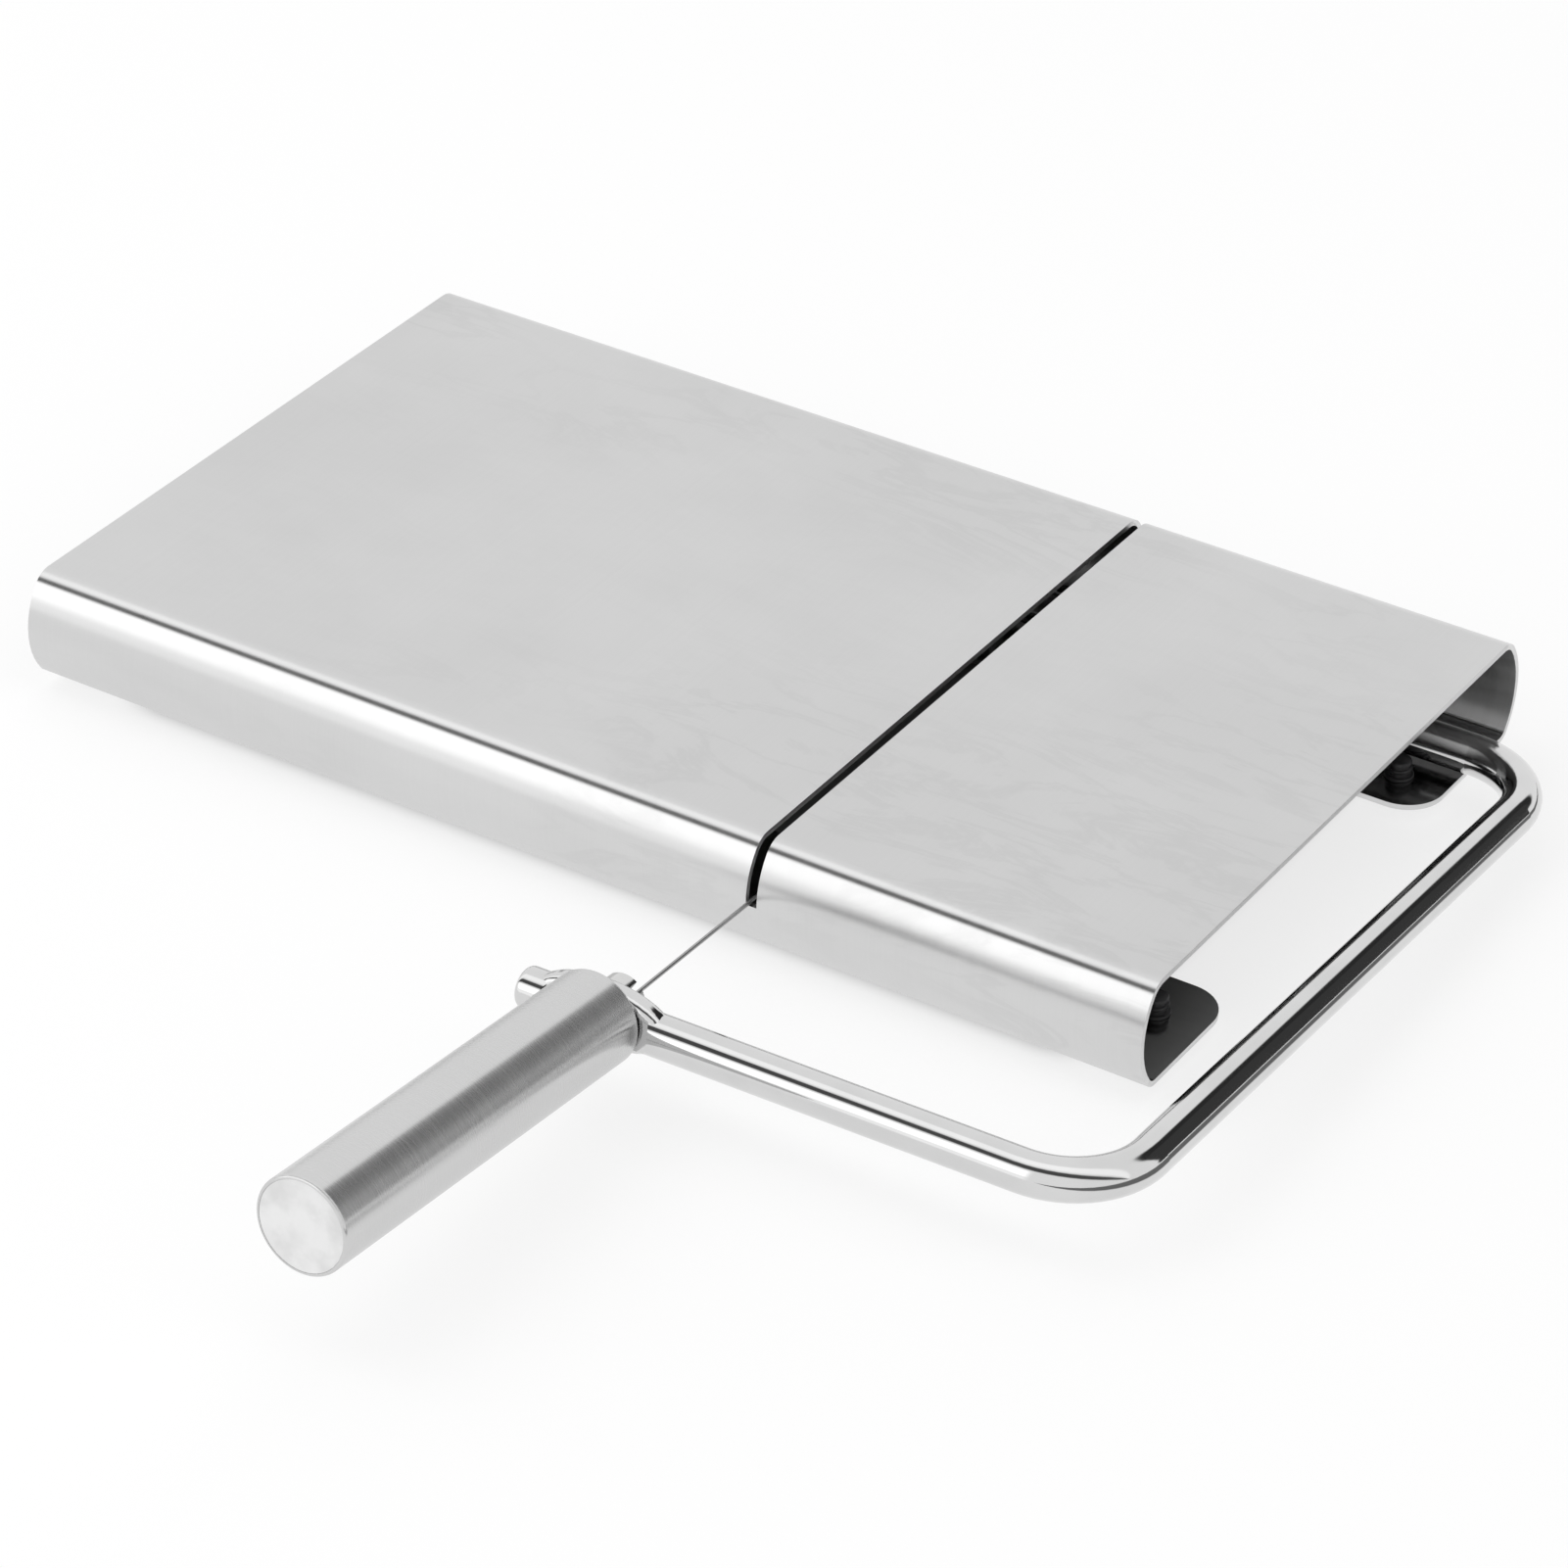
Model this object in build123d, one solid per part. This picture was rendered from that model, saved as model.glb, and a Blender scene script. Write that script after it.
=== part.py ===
from build123d import *
import os
from math import cos, radians, sin, tan

# A wire butter slicer: a folded steel board on four rubber feet, and a round steel bow that swings
# about its own rear leg under the deck and draws a taut wire down through a slot in the board.
# X runs along the board, -Y is the side the handle points to, +Z is up.
# The origin is on the table, under the middle of the deck. Millimetres and degrees.

# Board: one folded sheet, its section made of tangent arcs, all radii on the outer skin
board_length = 215.0
deck_height = 22.0
deck_flat_width = 114.4
sheet_thickness = 1.0
top_bend_radius = 4.3
top_bend_turn = 53.0
wall_turn = 74.0
lower_bend_radius = 3.0
front_flange_depth = 30.5
rear_flange_depth = 32.9
flange_corner_radius = 7.0

# Cutting slot, set a little to the right of the wire, and the threading hole in the rear flange
cut_inset = 70.75
slot_offset = 0.2
slot_width = 2.0
slot_rear_drop = 6.0
threading_hole_diameter = 16.0

# Push-in rubber feet, set in from the board's ends and from the widest part of its walls
foot_inset = 8.8
foot_front_depth = 20.75
foot_rear_depth = 24.65
foot_diameter = 9.0
foot_height = 2.43
foot_edge_radius = 0.8
foot_stem_diameter = 3.4
foot_head_diameter = 4.4
foot_head_height = 3.4
foot_collar_diameter = 5.0
foot_collar_height = 0.5
foot_head_radius = 0.8

# Hinge: the bow's rear leg turns in two sheet brackets spot-welded under the deck; its depth is from
# the widest part of the rear wall, its height from the top of the flange
hinge_depth = 19.25
hinge_height = 4.97
bracket_thickness = 1.5
bracket_width = 14.0
bracket_foot_length = 10.0
bracket_web_width = 1.2
bracket_corner_chamfer = 1.5
inner_bracket_offset = 16.75
outer_bracket_inset = 25.5
running_gap = 0.05

# Bow: one bent round rod, its centre line past the board's front, past its end and past the wire
rod_diameter = 7.0
bow_pitch = 2.5
bow_front_gap = 41.3
bow_end_gap = 15.9
bow_bend_radius = 14.0
leg_splay = 1.3
leg_end_length = 10.0
leg_end_chamfer = 0.6
tip_length = 14.45
tip_radius = 1.2

# Retaining rings on the rear leg
ring_diameter = 9.2
ring_thickness = 0.8
ring_groove_diameter = 5.8
ring_mouth_width = 3.6
ring_side_gap = 0.3

# Eye: the front leg pressed flat where the handle is drawn against it
eye_thickness = 4.0
eye_flat_diameter = 19.0
eye_wall_draft = 20.0
eye_length = 24.6
eye_height = 11.0
eye_rise = 0.6
eye_edge_radius = 1.6
stud_rise = 0.8
handle_tilt = 3.15

# Tension stud: a slotted head behind the eye, and a flatted shank that slides through it
stud_diameter = 5.0
stud_flat_width = 4.0
stud_engagement_length = 11.0
stud_tip_chamfer = 0.5
head_diameter = 7.8
head_height = 3.7
head_chamfer = 0.4
head_gap = 0.3
head_web_thickness = 2.1
wire_mouth_width = 1.4
slot_turn = 32.0
wire_seat_drop = 1.6
pocket_gap = 0.1

# Cutting wire and its two crimped barrels; its play in the leg lets it lean as the stud slides
wire_diameter = 0.7
barrel_diameter = 2.0
barrel_length = 1.5
wire_rest_gap = 0.5
wire_play = 0.3

# Handle and its washer
washer_diameter = 14.5
washer_thickness = 0.3
washer_gap = 0.05
handle_diameter = 16.1
handle_wall = 1.0
handle_length = 74.9
handle_edge_radius = 0.5
plug_length = 14.0
cap_thickness = 2.0
cap_rim = 0.6

# Cutting tools run this far past the faces that they cut
cut_clearance = 1.0

# Worked out from the sizes above
rod_radius = rod_diameter / 2
wall_end_turn = top_bend_turn + wall_turn
flange_top = foot_height + sheet_thickness

# The wall's curve fills the height that the two bends leave between the deck and the feet
wall_height = (
    deck_height
    - foot_height
    - top_bend_radius * (1 - cos(radians(top_bend_turn)))
    - lower_bend_radius * (1 + cos(radians(wall_end_turn)))
)
wall_radius = wall_height / (cos(radians(top_bend_turn)) - cos(radians(wall_end_turn)))
half_width = (
    deck_flat_width / 2
    + top_bend_radius * sin(radians(top_bend_turn))
    + wall_radius * (1 - sin(radians(top_bend_turn)))
)
board_end = board_length / 2
foot_x = board_end - foot_inset
foot_front_y = half_width - foot_front_depth
foot_rear_y = half_width - foot_rear_depth
hinge_y = half_width - hinge_depth
hinge_z = flange_top + hinge_height
cut_x = board_end - cut_inset
inner_bracket_x = cut_x - inner_bracket_offset
outer_bracket_x = board_end - outer_bracket_inset
leg_end_x = inner_bracket_x - leg_end_length
bow_reach = hinge_y + half_width + bow_front_gap
bar_x = board_end + bow_end_gap
tip_x = cut_x - tip_length
eye_face = eye_thickness / 2

# The bow's own plane: X along the rear leg, -Y out along the bow, Z square to the bow
bow_plane = Plane(
    origin=(0, hinge_y, hinge_z),
    x_dir=(1, 0, 0),
    z_dir=(0, sin(radians(bow_pitch)), cos(radians(bow_pitch))),
)

# The eye's plane: X along the leg, Y up across the flat, Z out along the handle
handle_pitch = bow_pitch + handle_tilt
eye_plane = Plane(
    origin=bow_plane.from_local_coords((cut_x, -bow_reach, stud_rise)),
    x_dir=(1, 0, 0),
    z_dir=(0, -cos(radians(handle_pitch)), sin(radians(handle_pitch))),
)

# The handle starts past the eye and its washer, the stud's head ends behind the eye
handle_start = eye_face + washer_thickness + washer_gap
handle_plane = eye_plane.offset(handle_start)
head_front = -eye_face - head_gap

# The wire runs straight from the rear leg's middle to its seat in the stud's head
wire_root = bow_plane.from_local_coords((cut_x, 0, 0))
wire_seat = eye_plane.from_local_coords((0, -wire_seat_drop, head_front - head_height + head_web_thickness))
wire_way = (wire_seat - wire_root).normalized()
root_plane = Plane(origin=wire_root, x_dir=(1, 0, 0), z_dir=wire_way)
seat_plane = Plane(origin=wire_seat, x_dir=(1, 0, 0), z_dir=wire_way)


def rod_between(plane, diameter, start, end):
    """A cylinder along the plane's Z axis, from height start to height end."""
    bottom = (Align.CENTER, Align.CENTER, Align.MIN)
    return plane.offset(start).location * Cylinder(diameter / 2, end - start, align=bottom)


def block(low, high):
    """A box between two opposite corners."""
    size = [b - a for a, b in zip(low, high)]
    corner = (Align.MIN, Align.MIN, Align.MIN)
    return Pos(*low) * Box(*size, align=corner)


def skin(inset, flange_depth):
    """One half of the board's section line, from mid-deck to the flange's free edge."""
    deck = Line((0, deck_height - inset), (deck_flat_width / 2, deck_height - inset))
    top_bend = JernArc(deck @ 1, deck % 1, top_bend_radius - inset, -top_bend_turn)
    wall = JernArc(top_bend @ 1, top_bend % 1, wall_radius - inset, -wall_turn)
    lower_bend = JernArc(wall @ 1, wall % 1, lower_bend_radius - inset, wall_end_turn - 180)
    edge = (half_width - flange_depth, (lower_bend @ 1).Y)
    return [deck, top_bend, wall, lower_bend, Line(lower_bend @ 1, edge)]


def slot_front_drop():
    """Depth of the slot's front end, so that the resting wire stays just above it."""
    wall_reach = (hinge_y + half_width) / -wire_way.Y
    wire_z = wire_root.Z + wire_way.Z * wall_reach
    return deck_height - wire_z + wire_diameter / 2 + wire_rest_gap


def board_half(flange_depth):
    """The rear half of the folded sheet, from mid-deck to its flange."""
    outer = skin(0, flange_depth)
    inner = skin(sheet_thickness, flange_depth)
    middle = Line(outer[0] @ 0, inner[0] @ 0)
    free_edge = Line(outer[-1] @ 1, inner[-1] @ 1)
    section = Plane.YZ * make_face(outer + inner + [middle, free_edge])
    return extrude(section, board_end, both=True)


def make_board_shell():
    """The folded sheet with its slot, foot holes and threading hole."""
    shell = board_half(rear_flange_depth) + mirror(board_half(front_flange_depth), Plane.XZ)
    shell = fillet(shell.edges().filter_by(Axis.Z), flange_corner_radius)

    slot_x = cut_x + slot_offset
    slot_low = slot_x - slot_width / 2
    slot_high = slot_x + slot_width / 2
    over = deck_height + cut_clearance
    past = half_width + cut_clearance
    front_end = deck_height - slot_front_drop()
    rear_end = deck_height - slot_rear_drop
    shell -= block((slot_low, -past, front_end), (slot_high, 0, over))
    shell -= block((slot_low, 0, rear_end), (slot_high, past, over))

    for x in (-foot_x, foot_x):
        for y in (-foot_front_y, foot_rear_y):
            shell -= rod_between(Plane((x, y, 0)), foot_stem_diameter, 0, flange_top + cut_clearance)
    threading = Plane((cut_x, hinge_y, 0))
    shell -= rod_between(threading, threading_hole_diameter, 0, flange_top + cut_clearance)
    return shell


def make_foot(x, y):
    """A rubber foot: pad under the flange, stem in its hole, collar and head above."""
    here = Plane((x, y, 0))
    pad = rod_between(here, foot_diameter, 0, foot_height)
    pad = fillet(pad.edges().sort_by(Axis.Z)[0], foot_edge_radius)
    head = rod_between(here, foot_head_diameter, flange_top, flange_top + foot_head_height)
    head = fillet(head.edges().sort_by(Axis.Z)[-1], foot_head_radius)
    collar = rod_between(here, foot_collar_diameter, flange_top, flange_top + foot_collar_height)
    stem = rod_between(here, foot_stem_diameter, foot_height, flange_top)
    return pad + stem + collar + head


def make_hinge_bracket(x, foot_way):
    """An angle bracket under the deck; its upright holds the rear leg, foot_way is its foot's side."""
    top = deck_height - sheet_thickness
    bottom = hinge_z - rod_radius - running_gap - bracket_web_width
    back = x - foot_way * bracket_thickness / 2
    front = x + foot_way * bracket_thickness / 2
    toe = front + foot_way * bracket_foot_length
    outline = Polyline(
        (back, bottom),
        (back, top),
        (toe, top),
        (toe, top - bracket_thickness),
        (front, top - bracket_thickness),
        (front, bottom),
        close=True,
    )
    angle = extrude(Plane.XZ * make_face(outline), bracket_width / 2, both=True)
    bends = angle.edges().filter_by(Axis.Y)
    inside = bends.filter_by_position(Axis.Z, top - bracket_thickness, top - bracket_thickness)
    inside = inside.sort_by_distance((front, 0, top))[0]
    angle = fillet(inside, bracket_thickness / 2)
    low_corners = angle.edges().filter_by(Axis.X).group_by(Axis.Z)[0]
    angle = chamfer(low_corners, bracket_corner_chamfer)
    angle = Pos(0, hinge_y, 0) * angle
    axis = Plane(origin=(0, hinge_y, hinge_z), z_dir=(1, 0, 0))
    hole = rod_between(axis, rod_diameter + 2 * running_gap, x - bracket_thickness, x + bracket_thickness)
    return angle - hole


def ring_places():
    """X of the low side of each retaining ring, one outside each bracket."""
    step = bracket_thickness / 2 + ring_side_gap
    return (inner_bracket_x - step - ring_thickness, outer_bracket_x + step)


def rod_line():
    """The bow's centre line: rear leg, bar and splayed front leg, with equal bends."""
    lean = tan(radians(leg_splay))
    bar_end = bow_reach - (bar_x - cut_x) * lean
    tip_reach = bow_reach + (cut_x - tip_x) * lean
    corners = [(leg_end_x, 0), (bar_x, 0), (bar_x, -bar_end), (tip_x, -tip_reach)]
    return bow_plane * FilletPolyline(*corners, radius=bow_bend_radius)


def eye_relief():
    """The two round hollows that the press leaves in the rod, their walls leaning outwards."""
    depth = rod_radius + cut_clearance - eye_face
    inner = eye_flat_diameter / 2
    outer = inner + depth * tan(radians(eye_wall_draft))
    bottom = (Align.CENTER, Align.CENTER, Align.MIN)
    hollow = Pos(0, 0, eye_face) * Cone(inner, outer, depth, align=bottom)
    return hollow + mirror(hollow, Plane.XY)


def between_flats(bar, width, start, end):
    """The part of a bar along the eye's axis that lies between two flats."""
    middle = (start + end) / 2
    return bar & eye_plane.offset(middle).location * Box(width, head_diameter, end - start)


def make_bow_rod():
    """The bent rod with ring grooves, the wire's bore and the flattened eye."""
    line = rod_line()
    ends = Plane(origin=line @ 0, z_dir=line % 0)
    rod = sweep(ends * Circle(rod_radius), path=line)
    rims = rod.edges().filter_by(GeomType.CIRCLE)
    rod = fillet(rims.sort_by_distance(line @ 1)[0], tip_radius)
    rims = rod.edges().filter_by(GeomType.CIRCLE)
    rod = chamfer(rims.sort_by_distance(line @ 0)[0], leg_end_chamfer)

    axis = Plane(origin=(0, hinge_y, hinge_z), z_dir=(1, 0, 0))
    for x in ring_places():
        band = rod_between(axis, rod_diameter + cut_clearance, x, x + ring_thickness)
        rod -= band - rod_between(axis, ring_groove_diameter, x, x + ring_thickness)

    wire_bore = wire_diameter + 2 * wire_play
    barrel_bore = barrel_diameter + 2 * wire_play
    rod -= rod_between(root_plane, wire_bore, -rod_diameter, rod_diameter)
    rod -= rod_between(root_plane, barrel_bore, -rod_diameter, barrel_length - rod_radius)

    rod -= eye_plane.location * eye_relief()
    plate = extrude(Ellipse(eye_length / 2, eye_height / 2), eye_face, both=True)
    rims = plate.edges().group_by(Axis.Z)
    plate = fillet(rims[0] + rims[-1], eye_edge_radius)
    rod += eye_plane.location * Pos(0, eye_rise - stud_rise, 0) * plate
    low = -eye_face - cut_clearance
    high = eye_face + cut_clearance
    hole = rod_between(eye_plane, stud_diameter + 2 * running_gap, low, high)
    return rod - between_flats(hole, stud_flat_width + 2 * running_gap, low, high)


def make_retaining_rings():
    """Two open rings snapped into the rear leg's grooves."""
    axis = Plane(origin=(0, hinge_y, hinge_z), z_dir=(1, 0, 0))
    rings = []
    for x in ring_places():
        ring = rod_between(axis, ring_diameter, x, x + ring_thickness)
        ring -= rod_between(axis, ring_groove_diameter, x, x + ring_thickness)
        low = (x, hinge_y - ring_mouth_width / 2, hinge_z)
        high = (x + ring_thickness, hinge_y + ring_mouth_width / 2, hinge_z + ring_diameter)
        rings.append(ring - block(low, high))
    return rings


def make_thrust_washer():
    """The washer that the handle turns against."""
    end = eye_face + washer_thickness
    washer = rod_between(eye_plane, washer_diameter, eye_face, end)
    return washer - rod_between(eye_plane, stud_diameter + 2 * running_gap, eye_face, end)


def keyhole(width, start, end):
    """A round-ended slot from the wire's seat up through the head's rim."""
    seat = rod_between(seat_plane, width, start, end)
    middle = (start + end) / 2
    bottom = (Align.CENTER, Align.MIN, Align.CENTER)
    way = Box(width, head_diameter, end - start, align=bottom)
    return seat + seat_plane.offset(middle).location * Rot(0, 0, -slot_turn) * way


def make_tension_stud():
    """Slotted head and flatted shank; the wire's barrel drops into the head from its rim."""
    shank_end = handle_start + stud_engagement_length
    head = rod_between(eye_plane, head_diameter, head_front - head_height, head_front)
    rims = head.edges().filter_by(GeomType.CIRCLE).sort_by(Axis.Y)
    head = chamfer(rims[-1], head_chamfer)
    shank = rod_between(eye_plane, stud_diameter, head_front, shank_end)
    rims = shank.edges().filter_by(GeomType.CIRCLE).sort_by(Axis.Y)
    shank = chamfer(rims[0], stud_tip_chamfer)
    stud = head + between_flats(shank, stud_flat_width, head_front, shank_end)
    stud -= keyhole(wire_mouth_width, -head_height, 0)
    return stud - keyhole(barrel_diameter + 2 * pocket_gap, 0, barrel_length + pocket_gap)


def make_cutting_wire():
    """The taut wire, from its rear barrel's end to its front barrel's end."""
    length = (wire_seat - wire_root).length
    return rod_between(root_plane, wire_diameter, -rod_radius, length + barrel_length)


def make_barrel(plane, start):
    """A crimped barrel round the wire."""
    barrel = rod_between(plane, barrel_diameter, start, start + barrel_length)
    return barrel - rod_between(plane, wire_diameter, start, start + barrel_length)


def cap_seat():
    """The space of the disc in the handle's outer end; it leaves only a thin rim of the tube."""
    seat_start = handle_length - cap_thickness
    return rod_between(handle_plane, handle_diameter - 2 * cap_rim, seat_start, handle_length)


def make_handle_tube():
    """The handle's tube, its outer edges rounded and its end bored for the disc."""
    tube = rod_between(handle_plane, handle_diameter, 0, handle_length)
    tube = fillet(tube.edges().filter_by(GeomType.CIRCLE), handle_edge_radius)
    tube -= rod_between(handle_plane, handle_diameter - 2 * handle_wall, 0, handle_length)
    return tube - cap_seat()


def make_handle_plug():
    """The plug in the handle's inner end; its bore takes the stud's thread."""
    plug = rod_between(handle_plane, handle_diameter - 2 * handle_wall, 0, plug_length)
    return plug - rod_between(handle_plane, stud_diameter + 2 * running_gap, 0, plug_length)


parts = {
    "board_shell": make_board_shell(),
    "foot_front_left": make_foot(-foot_x, -foot_front_y),
    "foot_front_right": make_foot(foot_x, -foot_front_y),
    "foot_rear_left": make_foot(-foot_x, foot_rear_y),
    "foot_rear_right": make_foot(foot_x, foot_rear_y),
    "hinge_bracket_inner": make_hinge_bracket(inner_bracket_x, -1),
    "hinge_bracket_outer": make_hinge_bracket(outer_bracket_x, -1),
    "bow_rod": make_bow_rod(),
    "retaining_rings": Compound(children=make_retaining_rings()),
    "thrust_washer": make_thrust_washer(),
    "tension_stud": make_tension_stud(),
    "cutting_wire": make_cutting_wire(),
    "wire_barrel_front": make_barrel(seat_plane, 0),
    "wire_barrel_rear": make_barrel(root_plane, -rod_radius),
    "handle_tube": make_handle_tube(),
    "handle_plug": make_handle_plug(),
    "handle_cap": cap_seat(),
}

os.makedirs("parts", exist_ok=True)
for name, shape in parts.items():
    export_step(shape, f"parts/{name}.step")
    box = shape.bounding_box()
    print(f"{name}: volume {shape.volume:.1f}, from {box.min}, to {box.max}")
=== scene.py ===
"""Looks of a wire butter slicer: brushed board, polished bow, taut wire and round handle."""

import logging
import math
from dataclasses import dataclass, field
from enum import Enum

import bpy
from mathutils import Matrix, Vector

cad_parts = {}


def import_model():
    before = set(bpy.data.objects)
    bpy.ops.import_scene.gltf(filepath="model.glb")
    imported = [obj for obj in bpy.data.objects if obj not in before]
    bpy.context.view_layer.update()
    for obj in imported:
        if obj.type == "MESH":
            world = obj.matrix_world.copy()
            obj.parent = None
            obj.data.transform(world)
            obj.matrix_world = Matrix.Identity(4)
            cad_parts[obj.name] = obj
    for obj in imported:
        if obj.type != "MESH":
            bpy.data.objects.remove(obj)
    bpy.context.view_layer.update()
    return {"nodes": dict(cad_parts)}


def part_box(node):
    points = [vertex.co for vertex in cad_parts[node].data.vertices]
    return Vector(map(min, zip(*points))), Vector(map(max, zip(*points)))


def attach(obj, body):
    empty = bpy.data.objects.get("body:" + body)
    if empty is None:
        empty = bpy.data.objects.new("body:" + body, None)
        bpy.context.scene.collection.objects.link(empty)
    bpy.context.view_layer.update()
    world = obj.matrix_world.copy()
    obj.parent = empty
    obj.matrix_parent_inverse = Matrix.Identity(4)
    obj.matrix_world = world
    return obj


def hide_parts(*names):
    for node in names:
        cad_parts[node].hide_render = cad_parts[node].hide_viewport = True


LOG = logging.getLogger("butter_slicer")

# A colour without its alpha, a vector, the two ends of a span, and the radius and height of rings
Color = tuple[float, float, float]
Triple = tuple[float, float, float]
Span = tuple[float, float]
Rings = tuple[tuple[float, float], ...]
Socket = bpy.types.NodeSocket

BLACK = (0.0, 0.0, 0.0, 1.0)
WHITE = (1.0, 1.0, 1.0, 1.0)

# Socket types of the node groups
FLOAT = "NodeSocketFloat"
VECTOR = "NodeSocketVector"

# The Mix node's colour sockets, which share their names with its number sockets
MIX_FACTOR, MIX_FIRST, MIX_SECOND = 0, 6, 7
MIX_RESULT = 2

# Meshing: how close points are one point, and how flat faces are one face
MERGE_METRES = 0.000002
FLAT_DEGREES = 0.4


class Grain(Enum):
    """Which way steel was brushed; the value packs its streaks along X, Y and Z."""

    # Across the deck and down its walls
    ACROSS_BOARD = (3200.0, 24.0, 24.0)
    # Along the sheet, as it was rolled
    ROLLED = (60.0, 2200.0, 2200.0)
    # Round the handle, whose axis is Y
    ROUND_HANDLE = (240.0, 14000.0, 240.0)
    # In rings about the handle's axis, packed by BrushedSteel.ring_pace
    TURNED_FACE = (1.0, 1.0, 1.0)
    # Along the wire
    DRAWN_WIRE = (4000.0, 120.0, 4000.0)


# ---------------------------------------------------------------- node helpers


@dataclass(frozen=True)
class Noise:
    """How a noise texture looks."""

    scale: float = 1.0
    detail: float = 2.0
    roughness: float = 0.5
    distortion: float = 0.0


@dataclass
class Bench:
    """A node tree and short ways to add nodes to it."""

    tree: bpy.types.NodeTree

    def add(self, kind: str, **settings: object) -> bpy.types.Node:
        """Adds a node and sets its properties.

        Args:
            kind: the node's Blender type.
            settings: property names and their values.

        Returns:
            The new node.
        """
        node = self.tree.nodes.new(kind)
        for name, value in settings.items():
            setattr(node, name, value)
        return node

    def feed(self, socket: Socket, source: object) -> None:
        """Links a socket to another one, or sets its value.

        Args:
            socket: the input.
            source: the output that feeds it, or its value.
        """
        if isinstance(source, Socket):
            self.tree.links.new(source, socket)
        else:
            socket.default_value = source

    def math(self, operation: str, *values: object, clamp: bool = False) -> Socket:
        """Adds a Math node.

        Args:
            operation: the node's operation.
            values: sockets or numbers, one for each input.
            clamp: whether the result is held between 0 and 1.

        Returns:
            The node's output.
        """
        node = self.add("ShaderNodeMath", operation=operation, use_clamp=clamp)
        for socket, value in zip(node.inputs, values):
            self.feed(socket, value)
        return node.outputs[0]

    def span(self, value: Socket, low: float, high: float, at_low: float, at_high: float) -> Socket:
        """Maps a value smoothly from one span to another.

        Args:
            value: the socket to map.
            low: the start of the value's span.
            high: the end of the value's span.
            at_low: the result at the start.
            at_high: the result at the end.

        Returns:
            The mapped value.
        """
        node = self.add("ShaderNodeMapRange", interpolation_type="SMOOTHSTEP")
        settings = {
            "Value": value,
            "From Min": low,
            "From Max": high,
            "To Min": at_low,
            "To Max": at_high,
        }
        for label, setting in settings.items():
            self.feed(node.inputs[label], setting)
        return node.outputs["Result"]

    def rise(self, value: Socket, low: float, high: float) -> Socket:
        """A mask that rises from 0 to 1 between two values."""
        return self.span(value, low, high, 0.0, 1.0)

    def fall(self, value: Socket, low: float, high: float) -> Socket:
        """A mask that falls from 1 to 0 between two values."""
        return self.span(value, low, high, 1.0, 0.0)

    def window(self, value: Socket, low: float, high: float, soft: float) -> Socket:
        """A mask that is 1 between two values, with soft ends.

        Args:
            value: the socket to mask.
            low: where the window starts.
            high: where it ends.
            soft: how far each end's change reaches to both sides.

        Returns:
            The mask.
        """
        rise = self.rise(value, low - soft, low + soft)
        fall = self.fall(value, high - soft, high + soft)
        return self.math("MULTIPLY", rise, fall)

    def mix(self, factor: Socket, first: object, second: object) -> Socket:
        """Mixes two colours.

        Args:
            factor: the second colour's share.
            first: a socket or a colour.
            second: a socket or a colour.

        Returns:
            The mixed colour.
        """
        node = self.add("ShaderNodeMix", data_type="RGBA")
        for index, value in ((MIX_FACTOR, factor), (MIX_FIRST, first), (MIX_SECOND, second)):
            self.feed(node.inputs[index], value)
        return node.outputs[MIX_RESULT]

    def noise(self, vector: Socket, look: Noise, scale: object = None) -> Socket:
        """Adds a noise texture.

        Args:
            vector: its coordinates.
            look: its settings.
            scale: a socket that feeds its scale, if not the look's own.

        Returns:
            The noise, between 0 and 1.
        """
        node = self.add("ShaderNodeTexNoise")
        settings = {
            "Vector": vector,
            "Scale": look.scale if scale is None else scale,
            "Detail": look.detail,
            "Roughness": look.roughness,
            "Distortion": look.distortion,
        }
        for label, setting in settings.items():
            self.feed(node.inputs[label], setting)
        return node.outputs["Fac"]

    def split(self, vector: Socket) -> tuple[Socket, ...]:
        """Splits a vector.

        Args:
            vector: the vector.

        Returns:
            Its X, Y and Z.
        """
        parts = self.add("ShaderNodeSeparateXYZ")
        self.feed(parts.inputs[0], vector)
        return tuple(parts.outputs)

    def join(self, *parts: object) -> Socket:
        """Makes a vector.

        Args:
            parts: sockets or numbers for X, Y and Z; what is left out is 0.

        Returns:
            The vector.
        """
        vector = self.add("ShaderNodeCombineXYZ")
        for socket, part in zip(vector.inputs, parts):
            self.feed(socket, part)
        return vector.outputs[0]

    def place(
        self,
        vector: Socket,
        centre: Triple = (0.0, 0.0, 0.0),
        turn: Triple = (0.0, 0.0, 0.0),
        stretch: Triple = (1.0, 1.0, 1.0),
    ) -> Socket:
        """Moves a pattern's origin to a point, then turns and stretches it.

        Args:
            vector: the coordinates to start from.
            centre: the point that becomes the origin, in metres.
            turn: turn about X, Y and Z, in radians.
            stretch: stretch along each turned axis.

        Returns:
            The new coordinates.
        """
        shift = self.add("ShaderNodeVectorMath", operation="SUBTRACT")
        self.feed(shift.inputs[0], vector)
        self.feed(shift.inputs[1], centre)
        node = self.add("ShaderNodeMapping")
        for label, setting in (
            ("Vector", shift.outputs[0]),
            ("Rotation", turn),
            ("Scale", stretch),
        ):
            self.feed(node.inputs[label], setting)
        return node.outputs[0]

    def use(self, group: bpy.types.NodeTree, inputs: dict[str, object]) -> dict[str, Socket]:
        """Adds a node group.

        Args:
            group: the group.
            inputs: what feeds each of its inputs.

        Returns:
            The group's outputs by name.
        """
        node = self.add("ShaderNodeGroup", node_tree=group)
        for label, source in inputs.items():
            self.feed(node.inputs[label], source)
        return {socket.name: socket for socket in node.outputs}


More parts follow.
